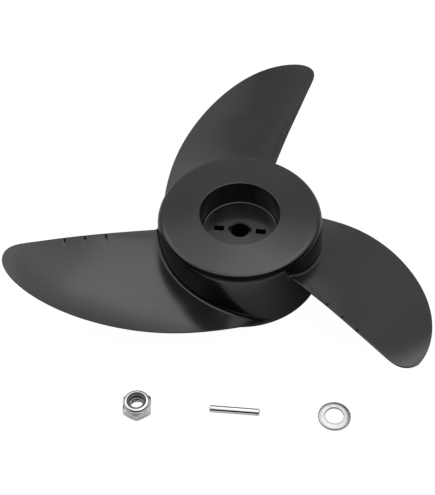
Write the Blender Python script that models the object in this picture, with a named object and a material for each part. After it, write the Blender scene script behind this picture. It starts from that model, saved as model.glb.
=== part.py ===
"""Three-blade moulded propeller of a small electric outboard, lying with its motor side down,
with its thin lock nut, drive pin and flat washer laid out on the same surface in front of it.

Units are metres, +Z is up, and the propeller's shaft axis is vertical.
"""

import math

import bmesh
import bpy
import numpy as np
from mathutils import Matrix, Vector

MM = 0.001

# Hub, seen from the nut side: a slightly conical face on top, open motor side below
HUB_RADIUS = 45 * MM
HUB_HEIGHT = 42.8 * MM
FACE_EDGE_RADIUS = 41.8 * MM
FACE_DROP = 0.9 * MM
EDGE_ROUNDING = 1.8 * MM
EDGE_ROUNDING_END = 40
SHOULDER_RADIUS = 7.8 * MM
BARREL_DRAFT = 1.1 * MM
SHELL_WALL = 3.4 * MM
FACE_THICKNESS = 4 * MM
SHELL_DRAFT = 0.5 * MM
FOOT_ROUNDING = 0.6 * MM

# Round recess for the nut and washer
RECESS_RADIUS = 21.8 * MM
RECESS_DEPTH = 14.1 * MM
RECESS_DRAFT = 0.8 * MM
RECESS_WALL = 3.2 * MM
RECESS_FLOOR = 4 * MM
RIM_ROUNDING = 0.6 * MM
FLOOR_ROUNDING = 0.9 * MM

# Central boss that the shaft and its drive pin turn
SHAFT_BORE_RADIUS = 4.9 * MM
BOSS_RADIUS = 17 * MM
BOSS_END = 9 * MM
PIN_SLOT_WIDTH = 4 * MM
PIN_SLOT_LENGTH = 29 * MM
PIN_SLOT_DEPTH = 7 * MM
PIN_SLOT_ANGLE = math.radians(-7)
SLOT_WINDOW = (5.7 * MM, 3.5 * MM)
SLOT_WINDOW_RADIUS = 11.6 * MM
BORE_NOTCH_REACH = 6.4 * MM
BORE_NOTCH_WIDTH = 3.6 * MM
BORE_NOTCH_DEPTH = 2 * MM

# Stiffening ribs between the boss and the shell, on the motor side
RIB_COUNT = 6
RIB_THICKNESS = 2.6 * MM
RIB_FOOT = 5 * MM

# Blades: the edge of one blade as radius, angle past its trailing root, height above the floor.
# The edge is a smooth curve drawn by these points: straight trailing edge, tip, leading edge.
BLADE_COUNT = 3
FIRST_BLADE_ANGLE = math.radians(185)
BLADE_EDGE = (
    (45.0, 0.0, 34.0),
    (70.5, 2.0, 37.0),
    (94.5, 2.5, 38.0),
    (114.0, 3.0, 38.0),
    (127.5, 3.0, 38.0),
    (133.0, 8.0, 37.0),
    (125.0, 17.5, 37.0),
    (109.0, 29.5, 32.5),
    (86.5, 46.5, 25.0),
    (64.5, 69.0, 16.5),
    (45.5, 105.0, 3.0),
)
BLADE_ROOT_RADIUS = 43.6 * MM
ROOT_THICKNESS = 5.2 * MM
TIP_THICKNESS = 2 * MM
THINNING_POWER = 0.7
EDGE_THICKNESS = 1.1 * MM
SWELL_POWER = 0.75

# Bends of the nut-side surface: two crowns and a dip at the root, a shallow cup further out
ROOT_CROWN = 1.8 * MM
LEADING_CROWN = 1.2 * MM
TRAILING_DIP = 3 * MM
CUP_DEPTH = 2 * MM
ROOT_FILLET = 1.8 * MM
FILLET_BITE = 0.2 * MM
BARREL_FOLLOWING = 19 * MM

# Mesh of a blade: sections between fillet and tip, points across, points round each edge
BLADE_STATIONS = 17
STATION_CROWDING = 1.9
LAST_STATION = 0.975
BLADE_COLUMNS = 15
NOSE_POINTS = 3

# Thin 3/8 inch lock nut with a nylon ring
NUT_PLACE = Vector((-54.0, -97.8, 0)) * MM
NUT_TURN = math.radians(-90)
NUT_FLATS = 14.3 * MM
NUT_HEX_HEIGHT = 5.3 * MM
NUT_HEIGHT = 7.6 * MM
NUT_THREAD_RADIUS = 4.3 * MM
THREAD_CHAMFER = 0.5 * MM
SEAT_CHAMFER = 0.2 * MM
HEX_CHAMFER_SHARE = 0.7
BLANK_MARGIN = 0.2 * MM
COLLAR_RADIUS = 6.95 * MM
COLLAR_MOUTH_RADIUS = 5.2 * MM
COLLAR_LIP_SHARE = 0.9
MOUTH_CHAMFER = 0.3 * MM
RING_SEAT = 4.6 * MM
RING_HEIGHT = 1.9 * MM
RING_RADIUS = 5.9 * MM
RING_HOLE_RADIUS = 4.45 * MM
RING_CHAMFER = 0.4 * MM
SEAT_GAP = 0.15 * MM

# Drive pin and washer, lying flat
PIN_PLACE = Vector((-3.3, -100.5, 0)) * MM
PIN_TURN = math.radians(-5.5)
PIN_LENGTH = 26 * MM
PIN_RADIUS = 1.85 * MM
PIN_CHAMFER = 0.4 * MM
WASHER_PLACE = Vector((48.2, -103.4, 0)) * MM
WASHER_RADIUS = 8.5 * MM
WASHER_HOLE_RADIUS = 4.85 * MM
WASHER_THICKNESS = 1.5 * MM
WASHER_ROUNDING = 0.25 * MM

HUB_SEGMENTS = 72
SMALL_SEGMENTS = 48
CUT_MARGIN = 2 * MM


def clear_scene():
    for old in list(bpy.data.objects):
        bpy.data.objects.remove(old, do_unlink=True)


def material(name, colour, roughness, metallic=0.0):
    made = bpy.data.materials.new(name)
    made.use_nodes = True
    shader = made.node_tree.nodes["Principled BSDF"]
    shader.inputs["Base Color"].default_value = (*colour, 1)
    shader.inputs["Roughness"].default_value = roughness
    shader.inputs["Metallic"].default_value = metallic
    made.diffuse_color = (*colour, 1)
    return made


def add_object(name, bm, look=None, sharp_angle=35):
    """Turn a bmesh into a named object with outward normals and smooth shading."""
    bmesh.ops.recalc_face_normals(bm, faces=bm.faces)
    mesh = bpy.data.meshes.new(name)
    bm.to_mesh(mesh)
    bm.free()
    mesh.shade_smooth()
    mesh.set_sharp_from_angle(angle=math.radians(sharp_angle))
    made = bpy.data.objects.new(name, mesh)
    bpy.context.scene.collection.objects.link(made)
    if look:
        mesh.materials.append(look)
    return made


def arc(centre, radius, start, end, steps):
    """Points of an arc in the turning plane, as (distance from the axis, height)."""
    angles = [math.radians(start + (end - start) * i / steps) for i in range(steps + 1)]
    return [(centre[0] + radius * math.cos(a), centre[1] + radius * math.sin(a)) for a in angles]


def skin_rings(bm, rings, close_ends):
    """Join rings of equal length by quads; close_ends joins the last ring to the first."""
    loops = [[bm.verts.new(point) for point in ring] for ring in rings]
    pairs = list(zip(loops, loops[1:]))
    if close_ends:
        pairs.append((loops[-1], loops[0]))
    for low, high in pairs:
        for i in range(len(low)):
            j = (i + 1) % len(low)
            bm.faces.new((low[i], low[j], high[j], high[i]))
    return loops


def turned(name, profile, segments, look=None):
    """A closed ring-shaped solid: the closed profile turned round the Z axis."""
    bm = bmesh.new()
    rings = []
    for step in range(segments):
        angle = 2 * math.pi * step / segments
        cos, sin = math.cos(angle), math.sin(angle)
        rings.append([Vector((r * cos, r * sin, z)) for r, z in profile])
    skin_rings(bm, rings, close_ends=True)
    return add_object(name, bm, look)


def box(name, size, centre, turn=0.0):
    """A plain block, used here as a cutter."""
    bm = bmesh.new()
    place = Matrix.Rotation(turn, 4, "Z") @ Matrix.Translation(centre)
    bmesh.ops.create_cube(bm, size=1, matrix=place @ Matrix.Diagonal((*size, 1)))
    return add_object(name, bm)


def combine(target, helper, operation):
    """Unite or cut with a hidden helper, which stays in the scene as a wire."""
    helper.hide_render = True
    helper.display_type = "WIRE"
    step = target.modifiers.new(helper.name, "BOOLEAN")
    step.operation = operation
    step.object = helper
    step.solver = "EXACT"


def shoulder_height():
    """Where the hub's wide shoulder ends and its barrel begins."""
    end = math.sin(math.radians(EDGE_ROUNDING_END))
    return HUB_HEIGHT - FACE_DROP - EDGE_ROUNDING * (1 - end) - SHOULDER_RADIUS * end


def barrel_spread(height):
    """How much wider the barrel is at this height than at its shoulder."""
    return BARREL_DRAFT * min(1.0, max(0.0, 1 - height / shoulder_height()))


def hub_profile():
    """Section of the hub, from the bore's top outwards, down the barrel and back inside."""
    top = HUB_HEIGHT
    floor = top - RECESS_DEPTH
    under_face = top - FACE_THICKNESS
    under_floor = floor - RECESS_FLOOR
    foot_radius = HUB_RADIUS + BARREL_DRAFT
    wall_low = RECESS_RADIUS - RECESS_DRAFT
    points = [(SHAFT_BORE_RADIUS, floor)]
    points += arc((wall_low - FLOOR_ROUNDING, floor + FLOOR_ROUNDING), FLOOR_ROUNDING, -90, 0, 3)
    points += arc((RECESS_RADIUS + RIM_ROUNDING, top - RIM_ROUNDING), RIM_ROUNDING, 180, 90, 3)
    edge_centre = (FACE_EDGE_RADIUS, top - FACE_DROP - EDGE_ROUNDING)
    points += arc(edge_centre, EDGE_ROUNDING, 90, EDGE_ROUNDING_END, 3)[:-1]
    shoulder_centre = (HUB_RADIUS - SHOULDER_RADIUS, shoulder_height())
    points += arc(shoulder_centre, SHOULDER_RADIUS, EDGE_ROUNDING_END, 0, 5)
    points += arc((foot_radius - FOOT_ROUNDING, FOOT_ROUNDING), FOOT_ROUNDING, 0, -90, 2)
    points += [(foot_radius - SHELL_WALL, 0), (HUB_RADIUS - SHELL_WALL - SHELL_DRAFT, under_face)]
    points += [(RECESS_RADIUS + RECESS_WALL, under_face)]
    points += [(wall_low + RECESS_WALL, under_floor), (BOSS_RADIUS, under_floor)]
    points += [(BOSS_RADIUS, BOSS_END), (SHAFT_BORE_RADIUS, BOSS_END)]
    return points


def edge_curve(points, steps=60):
    """Smooth curve drawn by its points, starting and ending on the first and last (a B-spline)."""
    held = np.array([points[0]] * 2 + list(points) + [points[-1]] * 2, dtype=float)
    t = np.linspace(0, 1, steps, endpoint=False)[:, None]
    weights = ((1 - t) ** 3, 3 * t**3 - 6 * t**2 + 4, 1 + 3 * t + 3 * t**2 - 3 * t**3, t**3)
    spans = []
    for first in range(len(held) - 3):
        spans.append(sum(w * held[first + k] for k, w in enumerate(weights)) / 6)
    return np.vstack(spans + [held[-1:]])


def blade_edges():
    """Radius, angle and height along the trailing edge and along the leading edge, both outwards."""
    radius, degrees, height = np.array(BLADE_EDGE).T
    angle = np.radians(degrees)
    x, y, z = edge_curve(np.column_stack((radius * np.cos(angle), radius * np.sin(angle), height))).T
    curve = np.column_stack((np.hypot(x, y) * MM, np.unwrap(np.arctan2(y, x)), z * MM))
    tip = int(np.argmax(curve[:, 0]))
    return curve[: tip + 1], curve[: tip - 1 : -1]


def edge_at(edge, radius):
    angle = np.interp(radius, edge[:, 0], edge[:, 1])
    height = np.interp(radius, edge[:, 0], edge[:, 2])
    return float(angle), float(height)


def station_radii(tip_radius):
    """Sections close together in the root fillet and at the tip, wide apart between them."""
    fillet_start = HUB_RADIUS - FILLET_BITE
    fillet = [fillet_start + ROOT_FILLET * step for step in (0, 0.08, 0.26, 0.55)]
    start = fillet_start + ROOT_FILLET
    span = tip_radius - start
    outer = [tip_radius - span * (1 - LAST_STATION * i / BLADE_STATIONS) ** STATION_CROWDING
             for i in range(BLADE_STATIONS + 1)]
    return [BLADE_ROOT_RADIUS] + fillet + outer


def fillet_growth(radius):
    """How far the blade's surface has spread into its root fillet, which bites into the hub."""
    reach = min(1.0, max(0.0, (radius - HUB_RADIUS + FILLET_BITE) / ROOT_FILLET))
    return ROOT_FILLET * (1 - math.sqrt(1 - (1 - reach) ** 2))


def section_points(chord, middle_thickness, growth):
    """Section outline as (distance along the chord, offset from the nut-side surface)."""
    nose = EDGE_THICKNESS / 2 + growth
    low, high = -growth, chord + growth
    shares = np.linspace(0, 1, BLADE_COLUMNS)
    spacing = 0.5 - 0.5 * np.cos(np.pi * shares)
    along = low + nose + spacing * (high - low - 2 * nose)
    swell = np.clip(4 * (along / chord) * (1 - along / chord), 0, 1) ** SWELL_POWER
    thickness = EDGE_THICKNESS + (middle_thickness - EDGE_THICKNESS) * swell
    upper = [(s, growth) for s in along]
    lower = [(s, -t - growth) for s, t in zip(along, thickness)]
    middle = -EDGE_THICKNESS / 2
    turns = [math.pi * (k + 1) / (NOSE_POINTS + 1) for k in range(NOSE_POINTS)]
    leading = [(high - nose + nose * math.sin(a), middle + nose * math.cos(a)) for a in turns]
    trailing = [(low + nose - nose * math.sin(a), middle - nose * math.cos(a)) for a in turns]
    return upper + leading + lower[::-1] + trailing


def sag(share, outward):
    """How far the nut-side surface lies below a straight line from edge to edge.

    Each bend is scaled so that its constant is its greatest depth.
    """
    bow = 4 * share * (1 - share)
    crown = ROOT_CROWN * bow * (1 - outward) ** 3
    crown += LEADING_CROWN * 12.2 * (1 - share) * share**4 * (1 - outward) ** 3
    dip = TRAILING_DIP * 12.2 * share * (1 - share) ** 4 * (1 - outward) ** 2
    cup = CUP_DEPTH * bow * 6.75 * outward * (1 - outward) ** 2
    return dip + cup - crown


def blade_section(radius, tip_radius, trailing, leading):
    """One section of the blade at a constant radius, as points in space."""
    start_angle, start_height = edge_at(trailing, radius)
    end_angle, end_height = edge_at(leading, radius)
    outward = max(0.0, (radius - HUB_RADIUS) / (tip_radius - HUB_RADIUS))
    thinning = outward**THINNING_POWER
    middle_thickness = ROOT_THICKNESS + (TIP_THICKNESS - ROOT_THICKNESS) * thinning
    width = (end_angle - start_angle) * radius
    rise = end_height - start_height
    chord = math.hypot(width, rise)
    growth = fillet_growth(radius)
    near_hub = min(1.0, max(0.0, 1 - (radius - HUB_RADIUS) / BARREL_FOLLOWING))
    points = []
    for along, offset in section_points(chord, middle_thickness, growth):
        share = along / chord
        inside = min(1.0, max(0.0, share))
        height = start_height + rise * share - sag(inside, outward)
        height = max(height + offset * width / chord, FOOT_ROUNDING)
        angle = FIRST_BLADE_ANGLE + start_angle + (width * share - offset * rise / chord) / radius
        spread = radius + barrel_spread(height) * near_hub
        points.append(Vector((spread * math.cos(angle), spread * math.sin(angle), height)))
    return points


def blade(number):
    """One blade, with its root fillet, running a little way into the hub's shell."""
    trailing, leading = blade_edges()
    tip_radius = trailing[-1, 0]
    turn = Matrix.Rotation(2 * math.pi * number / BLADE_COUNT, 4, "Z")
    sections = []
    for radius in station_radii(tip_radius):
        points = blade_section(radius, tip_radius, trailing, leading)
        sections.append([turn @ point for point in points])
    bm = bmesh.new()
    loops = skin_rings(bm, sections, close_ends=False)
    close_section(bm, loops[0])
    close_section(bm, loops[-1])
    return add_object(f"blade_{number + 1}_shape", bm)


def close_section(bm, loop):
    """Close a curved section by strips from its nut-side face to its motor-side face."""
    count = len(loop)
    nose = count - (NOSE_POINTS + 1) // 2
    for step in range(count // 2):
        near = [loop[(nose + step) % count], loop[(nose - step) % count]]
        far = [loop[(nose - step - 1) % count], loop[(nose + step + 1) % count]]
        corners = list(dict.fromkeys(near + far))
        bm.faces.new(corners)


def propeller(look):
    """Hub, blades and ribs are one moulding; the shaft's bore, slot and windows are cut in it."""
    moulding = turned("propeller", hub_profile(), HUB_SEGMENTS, look)
    for number in range(BLADE_COUNT):
        combine(moulding, blade(number), "UNION")
    for number in range(RIB_COUNT):
        combine(moulding, rib(number), "UNION")
    for cutter in shaft_cutters():
        combine(moulding, cutter, "DIFFERENCE")
    return moulding


def rib(number):
    """A stepped plate from the boss and the recess wall out to the shell."""
    outer = HUB_RADIUS - SHELL_WALL / 2
    wall = RECESS_RADIUS + RECESS_WALL / 2
    inner = BOSS_RADIUS - RIB_THICKNESS / 2
    top = HUB_HEIGHT - FACE_THICKNESS / 2
    step_height = HUB_HEIGHT - RECESS_DEPTH - RECESS_FLOOR / 2
    outline = ((inner, RIB_FOOT), (outer, RIB_FOOT), (outer, top), (wall, top))
    outline += ((wall, step_height), (inner, step_height))
    turn = Matrix.Rotation(2 * math.pi * (number + 0.5) / RIB_COUNT, 4, "Z")
    bm = bmesh.new()
    rings = []
    for side in (-RIB_THICKNESS / 2, RIB_THICKNESS / 2):
        rings.append([turn @ Vector((r, side, z)) for r, z in outline])
    loops = skin_rings(bm, rings, close_ends=False)
    bm.faces.new(loops[0])
    bm.faces.new(loops[1])
    return add_object(f"rib_{number + 1}_shape", bm)


def shaft_cutters():
    floor = HUB_HEIGHT - RECESS_DEPTH
    slot_height = PIN_SLOT_DEPTH + CUT_MARGIN
    slot_centre = Vector((0, 0, BOSS_END - CUT_MARGIN + slot_height / 2))
    slot_size = (PIN_SLOT_LENGTH, PIN_SLOT_WIDTH, slot_height)
    notch_size = (2 * BORE_NOTCH_REACH, BORE_NOTCH_WIDTH, 2 * BORE_NOTCH_DEPTH)
    cutters = [
        box("pin_slot_cutter", slot_size, slot_centre, PIN_SLOT_ANGLE),
        box("bore_notch_cutter", notch_size, Vector((0, 0, floor)), PIN_SLOT_ANGLE),
    ]
    low = BOSS_END + PIN_SLOT_DEPTH / 2
    high = floor + CUT_MARGIN
    for side in (-1, 1):
        centre = Vector((side * SLOT_WINDOW_RADIUS, 0, (low + high) / 2))
        name = "left_window_cutter" if side < 0 else "right_window_cutter"
        cutters.append(box(name, (*SLOT_WINDOW, high - low), centre, PIN_SLOT_ANGLE))
    return cutters


def hexagon_prism(name):
    """The nut's hexagon, from a little below its seat to its full height."""
    bm = bmesh.new()
    corner = NUT_FLATS / math.sqrt(3)
    rings = []
    for height in (-CUT_MARGIN, NUT_HEIGHT + CUT_MARGIN):
        angles = [math.radians(60 * k) for k in range(6)]
        rings.append([Vector((corner * math.cos(a), corner * math.sin(a), height)) for a in angles])
    loops = skin_rings(bm, rings, close_ends=False)
    bm.faces.new(loops[0])
    bm.faces.new(loops[1])
    return add_object(name, bm)


def lock_nut(steel):
    """Turned blank with the collar that holds the nylon ring, trimmed to a hexagon."""
    corner = NUT_FLATS / math.sqrt(3)
    flat = NUT_FLATS / 2
    chamfer = corner - flat
    seat_radius = RING_RADIUS + SEAT_GAP
    ring_top = RING_SEAT + RING_HEIGHT + SEAT_GAP
    blank = corner + BLANK_MARGIN
    profile = [(NUT_THREAD_RADIUS + THREAD_CHAMFER, 0), (flat - SEAT_CHAMFER, 0)]
    profile += [(blank, chamfer * HEX_CHAMFER_SHARE), (blank, NUT_HEX_HEIGHT - chamfer)]
    profile += [(COLLAR_RADIUS, NUT_HEX_HEIGHT)]
    lip = (NUT_HEIGHT - ring_top) * COLLAR_LIP_SHARE
    profile += arc((COLLAR_RADIUS - lip, NUT_HEIGHT - lip), lip, 0, 90, 4)
    profile += [(COLLAR_MOUTH_RADIUS + MOUTH_CHAMFER, NUT_HEIGHT)]
    profile += [(COLLAR_MOUTH_RADIUS, NUT_HEIGHT - MOUTH_CHAMFER)]
    profile += [(COLLAR_MOUTH_RADIUS, ring_top), (seat_radius, ring_top)]
    profile += [(seat_radius, RING_SEAT - SEAT_GAP), (NUT_THREAD_RADIUS, RING_SEAT - SEAT_GAP)]
    profile += [(NUT_THREAD_RADIUS, THREAD_CHAMFER)]
    nut = turned("lock_nut", profile, SMALL_SEGMENTS, steel)
    combine(nut, hexagon_prism("nut_hexagon_shape"), "INTERSECT")
    return nut


def nylon_ring(look):
    top = RING_SEAT + RING_HEIGHT
    profile = [(RING_HOLE_RADIUS, RING_SEAT), (RING_RADIUS, RING_SEAT), (RING_RADIUS, top)]
    profile += [(RING_HOLE_RADIUS + RING_CHAMFER, top), (RING_HOLE_RADIUS, top - RING_CHAMFER)]
    return turned("nut_nylon_ring", profile, SMALL_SEGMENTS, look)


def drive_pin(steel):
    """A straight pin with chamfered ends, its axis along X and its underside on the floor."""
    bm = bmesh.new()
    half = PIN_LENGTH / 2
    steps = ((-half, PIN_RADIUS - PIN_CHAMFER), (-half + PIN_CHAMFER, PIN_RADIUS),
             (half - PIN_CHAMFER, PIN_RADIUS), (half, PIN_RADIUS - PIN_CHAMFER))
    angles = [2 * math.pi * (k + 0.5) / 24 for k in range(24)]
    lift = PIN_RADIUS * math.cos(math.pi / 24)
    rings = [[Vector((x, r * math.cos(a), lift + r * math.sin(a))) for a in angles]
             for x, r in steps]
    loops = skin_rings(bm, rings, close_ends=False)
    bm.faces.new(loops[0])
    bm.faces.new(loops[-1])
    return add_object("drive_pin", bm, steel)


def flat_washer(steel):
    inner, outer, top = WASHER_HOLE_RADIUS, WASHER_RADIUS, WASHER_THICKNESS
    rounding = WASHER_ROUNDING
    profile = [(inner, 0), (outer, 0), (outer, top - rounding), (outer - rounding, top)]
    profile += [(inner + rounding / 2, top), (inner, top - rounding / 2)]
    return turned("flat_washer", profile, SMALL_SEGMENTS, steel)


def place(piece, spot, turn, parent):
    piece.parent = parent
    piece.location = spot
    piece.rotation_euler = (0, 0, turn)


def centre_on_floor(root):
    """Move the root so that the set's bounding box stands centred on the origin."""
    bpy.context.view_layer.update()
    graph = bpy.context.evaluated_depsgraph_get()
    corners = []
    for piece in root.children:
        if piece.hide_render:
            continue
        shape = piece.evaluated_get(graph).to_mesh()
        corners += [piece.matrix_world @ vertex.co for vertex in shape.vertices]
        piece.evaluated_get(graph).to_mesh_clear()
    points = np.array(corners)
    middle = (points.min(axis=0) + points.max(axis=0)) / 2
    root.location = (-middle[0], -middle[1], -points[:, 2].min())
    print("moved by", [round(value, 5) for value in root.location])


def main():
    clear_scene()
    black = material("black_nylon", (0.022, 0.022, 0.023), 0.42)
    steel = material("stainless_steel", (0.62, 0.61, 0.59), 0.22, 1.0)
    nylon = material("nylon_ring_grey", (0.1, 0.1, 0.105), 0.5)
    root = bpy.data.objects.new("propeller_set", None)
    bpy.context.scene.collection.objects.link(root)
    moulding = propeller(black)
    for helper in [step.object for step in moulding.modifiers]:
        helper.parent = root
    place(moulding, Vector(), 0, root)
    nut = lock_nut(steel)
    hexagon = nut.modifiers[0].object
    for piece in (nut, nylon_ring(nylon), hexagon):
        place(piece, NUT_PLACE, NUT_TURN, root)
    place(drive_pin(steel), PIN_PLACE, PIN_TURN, root)
    place(flat_washer(steel), WASHER_PLACE, 0, root)
    centre_on_floor(root)


main()
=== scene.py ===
# %% [markdown]
# # A moulded boat propeller and its fixings
#
# A small electric outboard turns this black plastic propeller. It lies on a white table with
# its nut side up, and its lock nut, drive pin and washer lie in a row in front of it.
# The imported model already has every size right. Here each solid gets its finer shape, such
# as round noses and root fillets on the blades and a rolled collar on the nut. Each material
# gets its grain and its marks, in a studio lit like the photograph's.

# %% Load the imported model
import math

import bmesh
import bpy
import numpy as np
from mathutils import Matrix, Vector


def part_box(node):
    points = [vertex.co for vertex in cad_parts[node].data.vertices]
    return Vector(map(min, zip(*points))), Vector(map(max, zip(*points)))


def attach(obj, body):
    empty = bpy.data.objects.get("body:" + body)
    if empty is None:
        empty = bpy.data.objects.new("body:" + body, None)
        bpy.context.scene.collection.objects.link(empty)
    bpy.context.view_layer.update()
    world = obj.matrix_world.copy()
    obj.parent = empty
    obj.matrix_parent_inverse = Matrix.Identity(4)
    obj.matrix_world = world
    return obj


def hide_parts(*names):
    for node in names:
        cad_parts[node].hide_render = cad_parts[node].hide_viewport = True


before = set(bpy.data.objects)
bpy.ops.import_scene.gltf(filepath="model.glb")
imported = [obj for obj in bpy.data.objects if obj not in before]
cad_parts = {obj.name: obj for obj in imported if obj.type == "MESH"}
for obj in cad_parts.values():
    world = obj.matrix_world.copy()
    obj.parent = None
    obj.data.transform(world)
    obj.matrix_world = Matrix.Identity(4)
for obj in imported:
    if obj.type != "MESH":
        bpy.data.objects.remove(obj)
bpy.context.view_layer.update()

MM = 0.001
print("solids:", sorted(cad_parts))

# %% [markdown]
# ## Where things stand
#
# Every place comes from the frame. The hub's face falls a little outwards, so the highest
# corners of the propeller's solid lie on a ring round the recess, and the middle of that ring
# is the shaft axis. A fixing's place is the middle of its own box.

# %% Find the shaft axis and the fixings
HEIGHT_TOLERANCE = 0.01 * MM
hub_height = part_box("propeller")[1].z
top_ring = [v.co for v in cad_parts["propeller"].data.vertices
            if v.co.z > hub_height - HEIGHT_TOLERANCE]
axis_x = (min(p.x for p in top_ring) + max(p.x for p in top_ring)) / 2
axis_y = (min(p.y for p in top_ring) + max(p.y for p in top_ring)) / 2
shaft_axis = Vector((axis_x, axis_y, 0))


def middle_of(node):
    """The middle of a node's box in plan, on the table."""
    low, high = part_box(node)
    return Vector(((low.x + high.x) / 2, (low.y + high.y) / 2, 0))


print("shaft axis at", [round(c / MM, 2) for c in shaft_axis], "mm, hub", round(hub_height / MM, 2))

# %% [markdown]
# ## Tools for turned and skinned shapes
#
# Nearly every piece here is a row of rings joined by quads. A turned piece repeats one
# profile round an axis, and a blade is a row of different sections. Cuts are made by Boolean
# modifiers, which leave a few doubled points where a cut meets an old corner, so those are
# merged before the piece is used.

# %% Mesh tools
SHARP_ANGLE = 50
MERGE_DISTANCE = 0.002 * MM


def arc(centre, radius, start, end, steps):
    """Points of an arc in the turning plane, as (distance from the axis, height)."""
    angles = [math.radians(start + (end - start) * i / steps) for i in range(steps + 1)]
    return [(centre[0] + radius * math.cos(a), centre[1] + radius * math.sin(a)) for a in angles]


def skin_rings(bm, rings, join_ends=False):
    """Join rings of equal length by quads; join_ends joins the last ring to the first."""
    loops = [[bm.verts.new(point) for point in ring] for ring in rings]
    pairs = list(zip(loops, loops[1:]))
    if join_ends:
        pairs.append((loops[-1], loops[0]))
    for low, high in pairs:
        for i in range(len(low)):
            j = (i + 1) % len(low)
            bm.faces.new((low[i], low[j], high[j], high[i]))
    return loops


def bar(bm, rings):
    """Join rings by quads and close both ends with a flat face."""
    loops = skin_rings(bm, rings)
    bm.faces.new(loops[0])
    bm.faces.new(loops[-1])


def fill_mesh(mesh, bm, sharp_angle):
    """Put a bmesh into a mesh, shaded smooth except at edges sharper than the angle."""
    bm.to_mesh(mesh)
    bm.free()
    mesh.shade_smooth()
    mesh.set_sharp_from_angle(angle=math.radians(sharp_angle))


def add_piece(name, bm, place, turn=0.0, sharp_angle=SHARP_ANGLE):
    """Turn a bmesh into an object at its place."""
    bmesh.ops.recalc_face_normals(bm, faces=bm.faces)
    mesh = bpy.data.meshes.new(name)
    fill_mesh(mesh, bm, sharp_angle)
    piece = bpy.data.objects.new(name, mesh)
    piece.location = place
    piece.rotation_euler = (0, 0, turn)
    bpy.context.scene.collection.objects.link(piece)
    return piece


def turned(name, profile, segments, place, turn=0.0):
    """A closed ring-shaped piece: the closed profile turned round the Z axis."""
    bm = bmesh.new()
    rings = []
    for step in range(segments):
        angle = 2 * math.pi * step / segments
        cos, sin = math.cos(angle), math.sin(angle)
        rings.append([Vector((r * cos, r * sin, z)) for r, z in profile])
    skin_rings(bm, rings, join_ends=True)
    return add_piece(name, bm, place, turn)


def apply_boolean(piece, helpers, operation, sharp_angle):
    """Cut or trim a piece with its helpers, merge the cut's doubled points, keep the result."""
    for helper in helpers:
        step = piece.modifiers.new(helper.name, "BOOLEAN")
        step.operation = operation
        step.object = helper
    bpy.context.view_layer.update()
    graph = bpy.context.evaluated_depsgraph_get()
    mesh = bpy.data.meshes.new_from_object(piece.evaluated_get(graph))
    piece.modifiers.clear()
    piece.data = mesh
    bm = bmesh.new()
    bm.from_mesh(mesh)
    bmesh.ops.remove_doubles(bm, verts=bm.verts, dist=MERGE_DISTANCE)
    bmesh.ops.dissolve_degenerate(bm, edges=bm.edges, dist=MERGE_DISTANCE)
    fill_mesh(mesh, bm, sharp_angle)
    for helper in helpers:
        bpy.data.objects.remove(helper)


def finish_piece(piece, node, material):
    """Give a piece its material, and let it stand for its solid."""
    piece.data.materials.clear()
    piece.data.materials.append(material)
    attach(piece, "root")
    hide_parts(node)
    print(piece.name, len(piece.data.polygons), "faces")


# %% [markdown]
# ## The camera
#
# The photograph looks down on the set at about 50 degrees, from 0.46 m in front of the shaft
# axis and 0.56 m above the table. The propeller's hub and its three equal blades gave the
# camera's place and its lens by a perspective fit.

# %% Camera
CAMERA_OFFSET = Vector((0, -459.4, 562.0)) * MM
CAMERA_YAW = math.radians(-1.574)
CAMERA_PITCH = math.radians(50.05)
CAMERA_ROLL = math.radians(-1.564)
FOCAL_PIXELS = 1274.1
LONG_SIDE_PIXELS = 495
SENSOR_WIDTH = 36.0


def camera_matrix():
    """The camera looks along +Y at yaw 0, down by its pitch, and rolls about its view."""
    forward = Vector((math.sin(CAMERA_YAW) * math.cos(CAMERA_PITCH),
                      math.cos(CAMERA_YAW) * math.cos(CAMERA_PITCH),
                      -math.sin(CAMERA_PITCH)))
    level = forward.cross(Vector((0, 0, 1))).normalized()
    upright = level.cross(forward)
    right = level * math.cos(CAMERA_ROLL) + upright * math.sin(CAMERA_ROLL)
    up = upright * math.cos(CAMERA_ROLL) - level * math.sin(CAMERA_ROLL)
    turn = Matrix((right, up, -forward)).transposed().to_4x4()
    return Matrix.Translation(shaft_axis + CAMERA_OFFSET) @ turn


camera_data = bpy.data.cameras.new("camera")
camera_data.sensor_width = SENSOR_WIDTH
camera_data.lens = FOCAL_PIXELS * SENSOR_WIDTH / LONG_SIDE_PIXELS
camera = bpy.data.objects.new("camera", camera_data)
camera.matrix_world = camera_matrix()
bpy.context.scene.collection.objects.link(camera)
bpy.context.scene.camera = camera
print("lens", round(camera_data.lens, 1), "mm, camera at", [round(c, 3) for c in camera.location])

# %% [markdown]
# ## The table
#
# The set was photographed on white paper. Here painted light and shade lie on the paper: a
# painted paler strip, and painted shade in front of the fixings, so that their steel has something
# to mirror. The camera itself sees it evened out to pure white, as in a cut-out photograph.

# %% Table
TABLE_SIZE = 6.0
TABLE_DROP = 0.05 * MM
TABLE_ROUGHNESS = 0.9
TABLE_GLOSS = 0.1
TABLE_GLOW = 1.09
TABLE_GLOW_SHARE = 0.9
# Painted light and shade on the paper from front to back, each tone with its place along Y in metres.
TABLE_PAINTED_TONES = ((-0.155, 0.1), (-0.14, 0.85), (-0.092, 0.85), (-0.075, 0.42))
TABLE_TONE_REACH = 0.5


def new_material(name, constants):
    """A material and its shader, with the values that are the same all over the surface."""
    material = bpy.data.materials.new(name)
    material.use_nodes = True
    shader = material.node_tree.nodes["Principled BSDF"]
    for label, value in constants.items():
        shader.inputs[label].default_value = value
    return material, shader


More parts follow.
